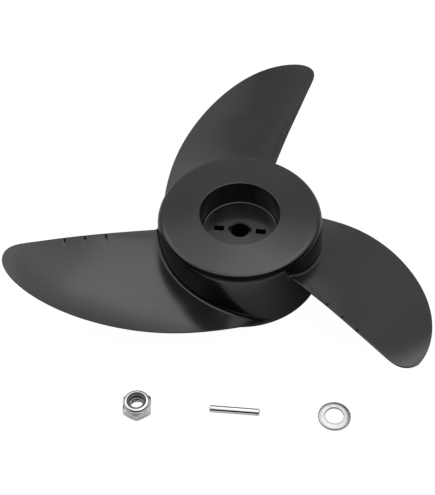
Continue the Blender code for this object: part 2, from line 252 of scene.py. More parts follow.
def ramp(tree, value, limits, results=(0.0, 1.0), course="SMOOTHSTEP"):
    """Map a value between two limits to two results, clamped beyond them."""
    remap = tree.nodes.new("ShaderNodeMapRange")
    remap.interpolation_type = course
    labels = ("From Min", "From Max", "To Min", "To Max")
    for label, number in zip(labels, (*limits, *results)):
        remap.inputs[label].default_value = number
    tree.links.new(value, remap.inputs["Value"])
    return remap.outputs["Result"]


def place_along_y(tree, coordinates):
    """The Y part of one kind of texture coordinates."""
    spot = tree.nodes.new("ShaderNodeTexCoord")
    split = tree.nodes.new("ShaderNodeSeparateXYZ")
    tree.links.new(spot.outputs[coordinates], split.inputs["Vector"])
    return split.outputs["Y"]


def painted_paper_light(tree):
    """Painted light and shade on the paper, which change from front to back."""
    limits = (-TABLE_TONE_REACH, TABLE_TONE_REACH)
    along = ramp(tree, place_along_y(tree, "Object"), limits, course="LINEAR")
    tones = tree.nodes.new("ShaderNodeValToRGB")
    stops = tones.color_ramp.elements
    while len(stops) < len(TABLE_PAINTED_TONES):
        stops.new(1.0)
    for stop, (place, tone) in zip(stops, TABLE_PAINTED_TONES):
        stop.position = (place + TABLE_TONE_REACH) / (2 * TABLE_TONE_REACH)
        stop.color = (tone, tone, tone, 1)
    tree.links.new(along, tones.inputs["Fac"])
    return tones.outputs["Color"]


def white_table():
    """Paper with painted light and shade in several tones, evened out to white for the camera's own
    rays.
    """
    constants = {"Roughness": TABLE_ROUGHNESS, "Specular IOR Level": TABLE_GLOSS}
    material, shader = new_material("white_table", constants)
    tree = material.node_tree
    nodes, links = tree.nodes, tree.links
    # The paper's colour here is painted light and shade, for the steel to mirror.
    links.new(painted_paper_light(tree), shader.inputs["Base Color"])
    glow = nodes.new("ShaderNodeEmission")
    glow.inputs["Strength"].default_value = TABLE_GLOW
    ray = nodes.new("ShaderNodeLightPath")
    share = ramp(tree, ray.outputs["Is Camera Ray"], (0, 1), (0, TABLE_GLOW_SHARE), "LINEAR")
    mix = nodes.new("ShaderNodeMixShader")
    links.new(share, mix.inputs["Fac"])
    links.new(shader.outputs["BSDF"], mix.inputs[1])
    links.new(glow.outputs["Emission"], mix.inputs[2])
    links.new(mix.outputs["Shader"], nodes["Material Output"].inputs["Surface"])
    return material


def lay_table():
    """A wide sheet just under the pieces, which is no part of the object."""
    bm = bmesh.new()
    bmesh.ops.create_grid(bm, x_segments=1, y_segments=1, size=TABLE_SIZE / 2)
    table = add_piece("table", bm, Vector((0, 0, -TABLE_DROP)))
    table.data.materials.append(white_table())
    print("table", TABLE_SIZE, "m wide")


lay_table()

# %% [markdown]
# ## The light tent
#
# Black plastic shows little but reflections, so the lamps draw its shapes. The propeller lies
# in a light tent: a roof of soft panels 0.45 m above the table, brightest just behind and
# to the right of the hub, dim walls at the back and sides, and an open, dark front.
# One big lamp would be simpler, but then every surface would have the same flat shine.

# %% Tent
WALL_LIGHT = 0.62
# The walls brighten while a direction's Y part goes from the first value to the second.
FRONT_OPENING = (-0.1, 0.9)
LAMP_HEIGHT = 0.45
PANEL_STEP = 0.002
# Name, middle and size in plan from the shaft axis in metres, and radiance, low panels last.
ROOF_PANELS = (
    ("roof", (0.0, -0.13), (2.0, 0.94), 0.38),
    ("roof_back", (0.0, 0.57), (2.0, 0.46), 0.24),
    ("roof_middle", (0.0, 0.02), (2.0, 0.6), 0.65),
    ("roof_left_front", (-0.58, -0.12), (0.84, 0.32), 0.42),
    ("roof_left_back", (-0.58, 0.18), (0.84, 0.28), 0.69),
    ("roof_front", (0.05, -0.3), (0.5, 0.2), 1.03),
    ("roof_hub", (0.06, 0.0), (0.42, 0.46), 0.6),
    ("roof_bright", (0.1, 0.07), (0.24, 0.36), 0.88),
)


def tent_walls():
    """Pale fabric walls, brightest behind the table, dim beside it and open at the front."""
    world = bpy.data.worlds.new("tent")
    world.use_nodes = True
    tree = world.node_tree
    light = ramp(tree, place_along_y(tree, "Generated"), FRONT_OPENING, (0.0, WALL_LIGHT))
    tree.links.new(light, tree.nodes["Background"].inputs["Strength"])
    tree.nodes["Background"].inputs["Color"].default_value = (1, 1, 1, 1)
    bpy.context.scene.world = world


def roof_panel(name, place, size, radiance):
    """A rectangular soft box that faces straight down."""
    data = bpy.data.lights.new(name, "AREA")
    data.shape = "RECTANGLE"
    data.size, data.size_y = size
    data.energy = radiance * math.pi * size[0] * size[1]
    lamp = bpy.data.objects.new(name, data)
    lamp.location = place
    bpy.context.scene.collection.objects.link(lamp)


tent_walls()
for step, (name, middle, size, radiance) in enumerate(ROOF_PANELS):
    panel_place = shaft_axis + Vector((*middle, LAMP_HEIGHT - step * PANEL_STEP))
    roof_panel(name, panel_place, size, radiance)
bpy.context.scene.view_settings.view_transform = "Standard"
print("tent with", len(ROOF_PANELS), "roof panels")

# %% [markdown]
# ## Shared surface effects
#
# Four small node groups serve all the materials. Each gives a height or a mask, and the
# material decides what it changes. Noise positions are in metres on each piece, so the
# grain keeps its real scale. A picture of grain would be quicker to place, but it would
# stretch over the curved blades.

# %% Node groups
# Cells and rings are counted per metre, and a noise is its detail and its roughness.
GRAIN_CELLS = 2600.0
GRAIN_NOISE = (3.0, 0.5)
WAVE_CELLS = 55.0
WAVE_NOISE = (2.0, 0.5)
WAVE_HEIGHT = 6.0
CLOUD_CELLS = 38.0
CLOUD_NOISE = (4.0, 0.55)
CLOUD_LIMITS = (0.35, 0.68)
SPECK_CELLS = 900.0
SPECK_NOISE = (2.0, 0.7)
SPECK_LIMITS = (0.71, 0.78)
TURNING_RINGS = 2200.0
TURNING_DISTORTION = 1.5
TURNING_DETAIL = 2.0


def new_group(name, inputs, output):
    """An empty shader group with named number sockets, as (group, input node, output node)."""
    group = bpy.data.node_groups.new(name, "ShaderNodeTree")
    for label, default in inputs.items():
        socket = group.interface.new_socket(label, in_out="INPUT", socket_type="NodeSocketFloat")
        socket.default_value = default
    group.interface.new_socket(output, in_out="OUTPUT", socket_type="NodeSocketFloat")
    return group, group.nodes.new("NodeGroupInput"), group.nodes.new("NodeGroupOutput")


def scaled_noise(group, cells_per_metre, detail, roughness):
    """Noise on the piece's own coordinates, with so many cells to the metre."""
    spot = group.nodes.new("ShaderNodeTexCoord")
    noise = group.nodes.new("ShaderNodeTexNoise")
    noise.inputs["Detail"].default_value = detail
    noise.inputs["Roughness"].default_value = roughness
    group.links.new(spot.outputs["Object"], noise.inputs["Vector"])
    group.links.new(cells_per_metre, noise.inputs["Scale"])
    return noise.outputs["Fac"]


def moulded_grain():
    """Fine satin grain of a moulded surface, with a slow waviness under it, as a height."""
    inputs = {"Cells per metre": GRAIN_CELLS, "Waves per metre": WAVE_CELLS,
              "Wave height": WAVE_HEIGHT}
    group, given, result = new_group("moulded grain", inputs, "Height")
    grain = scaled_noise(group, given.outputs["Cells per metre"], *GRAIN_NOISE)
    wave = scaled_noise(group, given.outputs["Waves per metre"], *WAVE_NOISE)
    both = group.nodes.new("ShaderNodeMath")
    both.operation = "MULTIPLY_ADD"
    for number, value in enumerate((wave, given.outputs["Wave height"], grain)):
        group.links.new(value, both.inputs[number])
    group.links.new(both.outputs["Value"], result.inputs["Height"])
    return group


def patches(name, cells, noise, limits):
    """Patches where a noise passes its limits, as a mask from 0 to 1."""
    group, given, result = new_group(name, {"Cells per metre": cells}, "Mask")
    patch = scaled_noise(group, given.outputs["Cells per metre"], *noise)
    group.links.new(ramp(group, patch, limits), result.inputs["Mask"])
    return group


def turning_marks():
    """Fine rings left by turning, round the piece's own Z axis, as a height."""
    group, given, result = new_group("turning marks", {"Rings per metre": TURNING_RINGS}, "Height")
    spot = group.nodes.new("ShaderNodeTexCoord")
    rings = group.nodes.new("ShaderNodeTexWave")
    rings.wave_type = "RINGS"
    rings.rings_direction = "Z"
    rings.inputs["Distortion"].default_value = TURNING_DISTORTION
    rings.inputs["Detail"].default_value = TURNING_DETAIL
    group.links.new(spot.outputs["Object"], rings.inputs["Vector"])
    group.links.new(given.outputs["Rings per metre"], rings.inputs["Scale"])
    group.links.new(rings.outputs["Fac"], result.inputs["Height"])
    return group


GRAIN, TURNING = moulded_grain(), turning_marks()
CLOUDS = patches("flow clouds", CLOUD_CELLS, CLOUD_NOISE, CLOUD_LIMITS)
SPECKS = patches("fine specks", SPECK_CELLS, SPECK_NOISE, SPECK_LIMITS)
print("groups:", [group.name for group in bpy.data.node_groups])

# %% [markdown]
# ## Material tools
#
# Every finish here is one Principled shader. A constant is set on the shader's own socket,
# and only what changes over the surface is wired to it.

# %% Material tools
def effect(material, group, per_metre=None):
    """A shared effect placed in a material, its scale (its first input) set where one is given."""
    node = material.node_tree.nodes.new("ShaderNodeGroup")
    node.node_tree = group
    if per_metre is not None:
        node.inputs[0].default_value = per_metre
    return node.outputs[0]


def two_tones(material, mask, low, high):
    """A mix of two colours, chosen by a mask; the low one may be the result of another mix."""
    links = material.node_tree.links
    mix = material.node_tree.nodes.new("ShaderNodeMix")
    mix.data_type = "RGBA"
    links.new(mask, mix.inputs["Factor"])
    mix.inputs["B"].default_value = (*high, 1)
    if isinstance(low, tuple):
        mix.inputs["A"].default_value = (*low, 1)
    else:
        links.new(low, mix.inputs["A"])
    return mix.outputs["Result"]


def bumped(material, shader, height, distance, strength):
    """Let a height raise the surface, by the distance in metres and the strength given."""
    bump = material.node_tree.nodes.new("ShaderNodeBump")
    bump.inputs["Distance"].default_value = distance
    bump.inputs["Strength"].default_value = strength
    material.node_tree.links.new(height, bump.inputs["Height"])
    material.node_tree.links.new(bump.outputs["Normal"], shader.inputs["Normal"])


# %% [markdown]
# ## Nylon
#
# Glass-filled nylon is a satin black: a very dark base under a broad soft shine. The clouds
# vary its shine a little, the grain breaks up the reflections, and a few specks of dust
# sit on top. The nut's ring is plain grey nylon, which is paler and duller.

# %% Black and grey nylon
BLACK_TONES = ((0.004, 0.004, 0.0042), (0.006, 0.006, 0.0062))
DUST_TONE = (0.03, 0.03, 0.03)
BLACK_SHINE = (0.16, 0.22)
BLACK_BUMP = (0.02 * MM, 0.35)
GREY_TONES = ((0.03, 0.03, 0.033), (0.06, 0.06, 0.063))
GREY_ROUGHNESS = 0.45
GREY_CLOUD_CELLS = 300.0
GREY_BUMP = (0.01 * MM, 0.3)


def black_nylon():
    """Satin black with cloudy shine, moulded grain and a little dust."""
    material, shader = new_material("satin_black_nylon", {})
    links = material.node_tree.links
    clouds = effect(material, CLOUDS)
    black = two_tones(material, clouds, *BLACK_TONES)
    links.new(two_tones(material, effect(material, SPECKS), black, DUST_TONE),
              shader.inputs["Base Color"])
    links.new(ramp(material.node_tree, clouds, (0.0, 1.0), BLACK_SHINE), shader.inputs["Roughness"])
    bumped(material, shader, effect(material, GRAIN), *BLACK_BUMP)
    return material


def grey_nylon():
    """Dull grey with a little cloudiness and the same grain."""
    material, shader = new_material("dull_grey_nylon", {"Roughness": GREY_ROUGHNESS})
    grey = two_tones(material, effect(material, CLOUDS, GREY_CLOUD_CELLS), *GREY_TONES)
    material.node_tree.links.new(grey, shader.inputs["Base Color"])
    bumped(material, shader, effect(material, GRAIN), *GREY_BUMP)
    return material


BLACK, NYLON = black_nylon(), grey_nylon()
print("nylon:", BLACK.name, "and", NYLON.name)

# %% [markdown]
# ## Steel
#
# The fixings are stainless steel. The nut and the pin are turned and bright, and the washer
# is stamped and duller, so one function makes both from a tone and a roughness.

# %% Turned and stamped steel
STEEL_BLUE = 0.99
STEEL_CLOUD_CELLS = 420.0
STEEL_SHINE_SPREAD = (0.88, 1.12)
STEEL_BUMP = (0.01 * MM, 0.08)
TURNED_TONE, TURNED_ROUGHNESS = 0.52, 0.18
STAMPED_TONE, STAMPED_ROUGHNESS = 0.42, 0.36


def steel(name, tone, roughness):
    """Bright steel with faint turning marks, its shine varying a little in patches."""
    colour = (tone, tone, STEEL_BLUE * tone, 1)
    material, shader = new_material(name, {"Base Color": colour, "Metallic": 1.0})
    clouds = effect(material, CLOUDS, STEEL_CLOUD_CELLS)
    shares = [roughness * share for share in STEEL_SHINE_SPREAD]
    shine = ramp(material.node_tree, clouds, (0.0, 1.0), shares)
    material.node_tree.links.new(shine, shader.inputs["Roughness"])
    bumped(material, shader, effect(material, TURNING), *STEEL_BUMP)
    return material


TURNED_STEEL = steel("turned_steel", TURNED_TONE, TURNED_ROUGHNESS)
STAMPED_STEEL = steel("stamped_steel", STAMPED_TONE, STAMPED_ROUGHNESS)
print("steel:", TURNED_STEEL.name, "and", STAMPED_STEEL.name)

# %% [markdown]
# ## The hub's rim
#
# The hub was moulded as one hollow drum. Its face falls a little outwards, which is why it
# looks darker at the far side, and bends into the barrel over a tight edge and a wide
# shoulder. The rim is three arcs that run on from each other without a corner, because the
# soft light along them shows every kink. One arc would lose the crisp edge that catches
# the light.

# %% Rim
HUB_RADIUS = 45 * MM
FACE_TILT = 3.2
# Radius of each arc, and the tilt in degrees that it ends at.
RIM_BENDS = ((5 * MM, 25), (1.26 * MM, 50), (7 * MM, 90))
RIM_STEPS = 10
RECESS_RADIUS = 21.8 * MM
RIM_ROUNDING = 0.6 * MM
face_slope = math.tan(math.radians(FACE_TILT))


def rim_profile():
    """The face's outer part, bent down in three arcs, each starting at the last one's tilt."""
    points, reach, drop, tilt = [], 0.0, 0.0, math.radians(FACE_TILT)
    for radius, end in RIM_BENDS:
        step = (math.radians(end) - tilt) / RIM_STEPS
        for _ in range(RIM_STEPS):
            points.append((reach, drop))
            reach += radius * (math.sin(tilt + step) - math.sin(tilt))
            drop += radius * (math.cos(tilt) - math.cos(tilt + step))
            tilt += step
    points.append((reach, drop))
    face_end = HUB_RADIUS - reach
    face_low = hub_height - (face_end - RECESS_RADIUS - RIM_ROUNDING) * face_slope
    return [(face_end + out, face_low - down) for out, down in points]


rim = rim_profile()
shoulder_height = rim[-1][1]
print("rim from", [round(c / MM, 2) for c in rim[0]], "to", [round(c / MM, 2) for c in rim[-1]], "mm")

# %% [markdown]
# ## The hub's section
#
# The whole section is turned in one go: the recess's floor, which also falls a little
# outwards, its wall, the face, the rim, the barrel, and the cored motor side with the shaft's
# boss. Where a flat part runs into a soft edge, a narrow ring of faces between the two keeps
# it evenly lit.

# %% Section of the hub
BARREL_DRAFT = 1.1 * MM
SHELL_WALL = 3.4 * MM
SHELL_DRAFT = 0.5 * MM
FACE_THICKNESS = 4 * MM
FOOT_ROUNDING = 0.6 * MM
RECESS_DEPTH = 14.1 * MM
RECESS_DRAFT = 0.8 * MM
RECESS_WALL = 3.2 * MM
RECESS_FLOOR = 4 * MM
FLOOR_ROUNDING = 0.9 * MM
FLOOR_TILT = 2
SHAFT_BORE_RADIUS = 4.9 * MM
BORE_CHAMFER = 0.6 * MM
BOSS_RADIUS = 17 * MM
BOSS_END = 9 * MM
EDGE_SUPPORT = 0.3 * MM
RECESS_ARC_STEPS = 8
FOOT_ARC_STEPS = 6
floor_height = hub_height - RECESS_DEPTH
floor_slope = math.tan(math.radians(FLOOR_TILT))


def recess_profile():
    """Section of the recess, from the bore over the floor and up the wall to the face."""
    wall_low = RECESS_RADIUS - RECESS_DRAFT
    start, end = SHAFT_BORE_RADIUS + BORE_CHAMFER, wall_low - FLOOR_ROUNDING
    low = floor_height - (end - start) * floor_slope
    face_start = RECESS_RADIUS + RIM_ROUNDING
    points = [(SHAFT_BORE_RADIUS, floor_height - BORE_CHAMFER), (start, floor_height)]
    points += [(end - EDGE_SUPPORT, low + floor_slope * EDGE_SUPPORT)]
    points += arc((end, low + FLOOR_ROUNDING), FLOOR_ROUNDING, -90, 0, RECESS_ARC_STEPS)
    points += arc((face_start, hub_height - RIM_ROUNDING), RIM_ROUNDING, 180, 90, RECESS_ARC_STEPS)
    return points + [(face_start + EDGE_SUPPORT, hub_height - face_slope * EDGE_SUPPORT)]


def shell_profile():
    """Section of the foot and the motor side, from the barrel's foot back to the bore."""
    foot_radius = HUB_RADIUS + BARREL_DRAFT
    under_face, under_floor = hub_height - FACE_THICKNESS, floor_height - RECESS_FLOOR
    points = arc((foot_radius - FOOT_ROUNDING, FOOT_ROUNDING), FOOT_ROUNDING, 0, -90, FOOT_ARC_STEPS)
    points += [(foot_radius - SHELL_WALL, 0), (HUB_RADIUS - SHELL_WALL - SHELL_DRAFT, under_face)]
    points += [(RECESS_RADIUS + RECESS_WALL, under_face)]
    points += [(RECESS_RADIUS - RECESS_DRAFT + RECESS_WALL, under_floor)]
    return points + [(BOSS_RADIUS, under_floor), (BOSS_RADIUS, BOSS_END), (SHAFT_BORE_RADIUS, BOSS_END)]


def hub_profile():
    """Section of the hub from the recess floor outwards, down the barrel and back inside."""
    face_end = (rim[0][0] - EDGE_SUPPORT, rim[0][1] + face_slope * EDGE_SUPPORT)
    return recess_profile() + [face_end] + rim + shell_profile()


print("section of", len(hub_profile()), "points")

# %% [markdown]
# ## Cuts for the shaft and its pin
#
# The shaft's pin lies in a slot across the boss, on the motor side. The slot's ends show as
# two windows in the recess floor, and two notches widen the bore between them. They are
# blocks taken away from the turned hub, all at the slot's angle.

# %% Make the hub
PIN_SLOT = (29 * MM, 4 * MM, 7 * MM)
PIN_SLOT_ANGLE = math.radians(-7)
SLOT_WINDOW = (5.7 * MM, 3.5 * MM)
SLOT_WINDOW_RADIUS = 11.6 * MM
BORE_NOTCH = (12.8 * MM, 3.6 * MM, 4 * MM)
CUT_MARGIN = 2 * MM
HUB_SEGMENTS = 240
HUB_SHARP_ANGLE = 35


def block(name, size, centre):
    """A cutter, turned to the pin slot's direction."""
    bm = bmesh.new()
    place = Matrix.Rotation(PIN_SLOT_ANGLE, 4, "Z") @ Matrix.Translation(centre)
    bmesh.ops.create_cube(bm, size=1, matrix=place @ Matrix.Diagonal((*size, 1)))
    return add_piece(name, bm, shaft_axis)


def shaft_cuts():
    """Cutters for the pin slot, the two notches at the bore and the windows at the slot's ends."""
    length, width, depth = PIN_SLOT
    slot_middle = BOSS_END + (depth - CUT_MARGIN) / 2
    cuts = [block("slot", (length, width, depth + CUT_MARGIN), Vector((0, 0, slot_middle))),
            block("notch", BORE_NOTCH, Vector((0, 0, floor_height)))]
    low, high = BOSS_END + depth / 2, floor_height + CUT_MARGIN
    for side in (-1, 1):
        centre = Vector((side * SLOT_WINDOW_RADIUS, 0, (low + high) / 2))
        cuts.append(block(f"window_{side}", (*SLOT_WINDOW, high - low), centre))
    return cuts


def hub():
    """The turned hub, cut for the shaft and its pin."""
    piece = turned("propeller_hub", hub_profile(), HUB_SEGMENTS, shaft_axis)
    apply_boolean(piece, shaft_cuts(), "DIFFERENCE", HUB_SHARP_ANGLE)
    return piece


finish_piece(hub(), "propeller", BLACK)

# %% [markdown]
# ## The ribs
#
# Six ribs stiffen the shell on the motor side, which lies on the table here. Each is a plate
# with a step where it passes under the recess. They sink a little into the walls that they
# join, so no gap can show.

# %% Make the ribs
RIB_COUNT = 6
RIB_THICKNESS = 2.6 * MM
RIB_FOOT = 5 * MM


def ribs():
    """Stepped plates from the boss and the recess wall out to the shell, as one piece."""
    outer = HUB_RADIUS - SHELL_WALL / 2
    wall = RECESS_RADIUS + RECESS_WALL / 2
    inner = BOSS_RADIUS - RIB_THICKNESS / 2
    top = hub_height - FACE_THICKNESS / 2
    step_height = floor_height - RECESS_FLOOR / 2
    outline = [(inner, RIB_FOOT), (outer, RIB_FOOT), (outer, top), (wall, top)]
    outline += [(wall, step_height), (inner, step_height)]
    bm = bmesh.new()
    for number in range(RIB_COUNT):
        turn = Matrix.Rotation(2 * math.pi * (number + 0.5) / RIB_COUNT, 4, "Z")
        bar(bm, [[turn @ Vector((r, side * RIB_THICKNESS / 2, z)) for r, z in outline]
                 for side in (-1, 1)])
    return add_piece("propeller_ribs", bm, shaft_axis)


finish_piece(ribs(), "propeller", BLACK)

# %% [markdown]
# ## The edge of a blade
#
# One smooth curve is the edge of a blade: a nearly straight trailing edge, a round tip and
# a long swept leading edge that winds down the hub. A B-spline draws it from eleven points,
# because it stays smooth wherever they stand. Its two parts, before and after the tip, then
# say where the blade starts and ends at each radius.

# %% Blade edge
# Radius in millimetres, angle in degrees and height in millimetres, from the trailing root.
BLADE_EDGE = (
    (45.0, 0.0, 34.0),
    (70.5, 2.0, 37.0),
    (94.5, 2.5, 38.0),
    (114.0, 3.0, 38.0),
    (127.5, 3.0, 38.0),
    (133.0, 8.0, 37.0),
    (125.0, 17.5, 37.0),
    (109.0, 29.5, 32.5),
    (86.5, 46.5, 25.0),
    (64.5, 69.0, 16.5),
    (45.5, 105.0, 3.0),
)
EDGE_STEPS = 60


def edge_curve(points):
    """Smooth curve drawn by its points, starting and ending on the first and last (a B-spline)."""
    held = np.array([points[0]] * 2 + list(points) + [points[-1]] * 2, dtype=float)
    t = np.linspace(0, 1, EDGE_STEPS, endpoint=False)[:, None]
    weights = ((1 - t) ** 3, 3 * t**3 - 6 * t**2 + 4, 1 + 3 * t + 3 * t**2 - 3 * t**3, t**3)
    spans = []
    for first in range(len(held) - 3):
        spans.append(sum(w * held[first + k] for k, w in enumerate(weights)) / 6)
    return np.vstack(spans + [held[-1:]])


def blade_edges():
    """Radius, angle and height along the trailing edge and along the leading edge, both outwards."""
    radius, degrees, height = np.array(BLADE_EDGE).T
    angle = np.radians(degrees)
    x, y, z = edge_curve(np.column_stack((radius * np.cos(angle), radius * np.sin(angle), height))).T
    curve = np.column_stack((np.hypot(x, y) * MM, np.unwrap(np.arctan2(y, x)), z * MM))
    tip = int(np.argmax(curve[:, 0]))
    return curve[: tip + 1], curve[: tip - 1 : -1]


def edge_at(edge, radius):
    """Angle and height of an edge at a radius."""
    angle = np.interp(radius, edge[:, 0], edge[:, 1])
    height = np.interp(radius, edge[:, 0], edge[:, 2])
    return float(angle), float(height)


TRAILING, LEADING = blade_edges()
TIP_RADIUS = TRAILING[-1, 0]
print("tip radius", round(TIP_RADIUS / MM, 1), "mm")

# %% [markdown]
# ## Where the sections stand
#
# A blade is skinned over sections at constant radius. They crowd together where its shape
# changes quickly: in the root fillet, at the three small nicks just behind the trailing edge,
# and towards the tip. Even spacing would need far more of them to be as smooth there.

# %% Radii of the sections
BLADE_ROOT_RADIUS = 43.6 * MM
ROOT_FILLET = 1.8 * MM
FILLET_BITE = 0.1 * MM
FILLET_STEPS = (0, 0.01, 0.03, 0.07, 0.12, 0.19, 0.27, 0.37, 0.48, 0.6, 0.73, 0.87)
BLADE_STATIONS = 56
STATION_CROWDING = 1.9
LAST_STATION = 0.985
NICK_RADII = (73.5 * MM, 85 * MM, 96 * MM)
NICK_HALF_WIDTH = 0.6 * MM
NICK_STEPS = (-1, -0.5, 0, 0.5, 1)


def station_radii():
    """Radii of all sections, from inside the hub's shell to just short of the tip."""
    fillet_start = HUB_RADIUS - FILLET_BITE
    fillet = [fillet_start + ROOT_FILLET * step for step in FILLET_STEPS]
    span = TIP_RADIUS - fillet_start - ROOT_FILLET
    outer = [TIP_RADIUS - span * (1 - LAST_STATION * i / BLADE_STATIONS) ** STATION_CROWDING
             for i in range(BLADE_STATIONS + 1)]
    nicks = [nick + NICK_HALF_WIDTH * step for nick in NICK_RADII for step in NICK_STEPS]
    return sorted([BLADE_ROOT_RADIUS] + fillet + outer + nicks)


print(len(station_radii()), "sections in each blade")

# %% [markdown]
# ## The outline of a section
#
# Each section is a thin strip, thickest in its middle, with a round nose at both edges.
# Close to the hub it swells into the root fillet, as a moulding does so that it doesn't
# crack there. The fillet is part of the section, so it needs no bevel on a curved seam.

# %% Outline of a section
ROOT_THICKNESS = 5.2 * MM
TIP_THICKNESS = 2 * MM
EDGE_THICKNESS = 1.1 * MM
THINNING_POWER = 0.7
SWELL_POWER = 0.75
BLADE_COLUMNS = 48
NOSE_POINTS = 7
NICK_DEPTH = 0.9 * MM
# Distances from the trailing edge, and the share of the nick's depth at each.
NICK_PLACES = (0, 1.2 * MM, 4.2 * MM)
NICK_SHARES = (0.35, 1, 0)


def unit(value):
    """The value, held between 0 and 1."""
    return min(1.0, max(0.0, value))


def bow(share):
    """A parabola that is 0 at both ends and 1 in the middle."""
    return 4 * share * (1 - share)


def fillet_growth(radius):
    """How far the blade's surface has spread into its root fillet, which bites into the hub."""
    reach = unit((radius - HUB_RADIUS + FILLET_BITE) / ROOT_FILLET)
    return ROOT_FILLET * (1 - math.sqrt(1 - (1 - reach) ** 2))


def nicked(radius, points):
    """Section points with the nick behind the trailing edge, deepest a little way in."""
    near = max(0.0, max(1 - abs(radius - nick) / NICK_HALF_WIDTH for nick in NICK_RADII))
    cut = []
    for along, offset in points:
        share = near * np.interp(along, NICK_PLACES, NICK_SHARES)
        cut.append((along, offset - NICK_DEPTH * share * unit(1 + offset / EDGE_THICKNESS)))
    return cut


def section_points(radius, chord, middle_thickness, growth):
    """Section outline as (distance along the chord, offset from the nut-side surface).

    Its points are closest together at both edges.
    """
    nose = EDGE_THICKNESS / 2 + growth
    low, high = -growth, chord + growth
    shares = np.linspace(0, 1, BLADE_COLUMNS)
    spacing = 0.5 - 0.5 * np.cos(np.pi * shares)
    along = low + nose + spacing * (high - low - 2 * nose)
    swell = np.clip(bow(along / chord), 0, 1) ** SWELL_POWER
    thickness = EDGE_THICKNESS + (middle_thickness - EDGE_THICKNESS) * swell
    upper = [(s, growth) for s in along]
    lower = [(s, -t - growth) for s, t in zip(along, thickness)]
    middle = -EDGE_THICKNESS / 2
    turns = [math.pi * (k + 1) / (NOSE_POINTS + 1) for k in range(NOSE_POINTS)]
    leading = [(high - nose + nose * math.sin(a), middle + nose * math.cos(a)) for a in turns]
    trailing = [(low + nose - nose * math.sin(a), middle - nose * math.cos(a)) for a in turns]
    return nicked(radius, upper + leading + lower[::-1] + trailing)


# %% [markdown]
# ## The bends of a blade
#
# The nut side is crowned near the hub, most of all behind the leading edge, dips behind the
# trailing edge and is slightly cupped further out. Those bends steer the long soft
# highlights, which straight sections would leave out. Close to the hub the section also
# follows the barrel, which widens towards its foot.

# %% Section in space
FIRST_BLADE_ANGLE = math.radians(185)
ROOT_CROWN = 1.8 * MM
LEADING_CROWN = 1.2 * MM
TRAILING_DIP = 3 * MM
CUP_DEPTH = 2 * MM
# These bring the greatest value of share**4 * (1 - share) and of share * (1 - share)**2 to 1.
SKEWED_SCALE = 12.2
CUP_SCALE = 6.75
BARREL_FOLLOWING = 19 * MM


def sag(share, outward):
    """How far the nut-side surface lies below a straight line from edge to edge."""
    crown = ROOT_CROWN * bow(share) * (1 - outward) ** 3
    crown += LEADING_CROWN * SKEWED_SCALE * (1 - share) * share**4 * (1 - outward) ** 3
    dip = TRAILING_DIP * SKEWED_SCALE * share * (1 - share) ** 4 * (1 - outward) ** 2
    cup = CUP_DEPTH * bow(share) * CUP_SCALE * outward * (1 - outward) ** 2
    return dip + cup - crown


def barrel_spread(height):
    """How much wider the barrel is at this height than at its shoulder."""
    return BARREL_DRAFT * unit(1 - height / shoulder_height)


def blade_section(radius):
    """One section of the blade at a constant radius, as points in space."""
    start_angle, start_height = edge_at(TRAILING, radius)
    end_angle, end_height = edge_at(LEADING, radius)
    outward = max(0.0, (radius - HUB_RADIUS) / (TIP_RADIUS - HUB_RADIUS))
    thinning = outward**THINNING_POWER
    middle_thickness = ROOT_THICKNESS + (TIP_THICKNESS - ROOT_THICKNESS) * thinning
    width = (end_angle - start_angle) * radius
    rise = end_height - start_height
    chord = math.hypot(width, rise)
    growth = fillet_growth(radius)
    near_hub = unit(1 - (radius - HUB_RADIUS) / BARREL_FOLLOWING)
    points = []
    for along, offset in section_points(radius, chord, middle_thickness, growth):
        share = along / chord
        height = start_height + rise * share - sag(unit(share), outward)
        height = max(height + offset * width / chord, FOOT_ROUNDING)
        angle = FIRST_BLADE_ANGLE + start_angle + (width * share - offset * rise / chord) / radius
        spread = radius + barrel_spread(height) * near_hub
        points.append(Vector((spread * math.cos(angle), spread * math.sin(angle), height)))
    return points


blade_rings = [blade_section(radius) for radius in station_radii()]
print(len(blade_rings[0]), "points in each section")

# %% [markdown]
# ## The three blades
#
# The blades are the same, a third of a turn apart, as one mould makes them. The section at
# the root ends inside the hub's shell, so the blade grows out of it. A section is too curved
# to be closed by one flat face, so narrow strips close it.

# %% Make the three blades
BLADE_COUNT = 3


def close_section(bm, loop):
    """Close a curved section by strips from its nut-side face to its motor-side face."""
    count = len(loop)
    nose = count - (NOSE_POINTS + 1) // 2
    for step in range(count // 2):
        near = [loop[(nose + step) % count], loop[(nose - step) % count]]
        far = [loop[(nose - step - 1) % count], loop[(nose + step + 1) % count]]
        bm.faces.new(list(dict.fromkeys(near + far)))


def blade(number, sections):
    """One blade, with its root fillet, running a little way into the hub's shell."""
    turn = Matrix.Rotation(2 * math.pi * number / BLADE_COUNT, 4, "Z")
    bm = bmesh.new()
    loops = skin_rings(bm, [[turn @ point for point in ring] for ring in sections])
    close_section(bm, loops[0])
    close_section(bm, loops[-1])
    return add_piece(f"blade_{number + 1}", bm, shaft_axis)


for number in range(BLADE_COUNT):
    finish_piece(blade(number, blade_rings), "propeller", BLACK)

# %% [markdown]
# ## The lock nut
#
# A thin lock nut is a hexagon with both ends chamfered by turning, and a thin collar
# rolled inwards over a nylon ring. Here a turned blank is trimmed to a hexagon, which leaves
# the same curved edges as chamfering a hexagonal bar does. The thread shows as ridges.

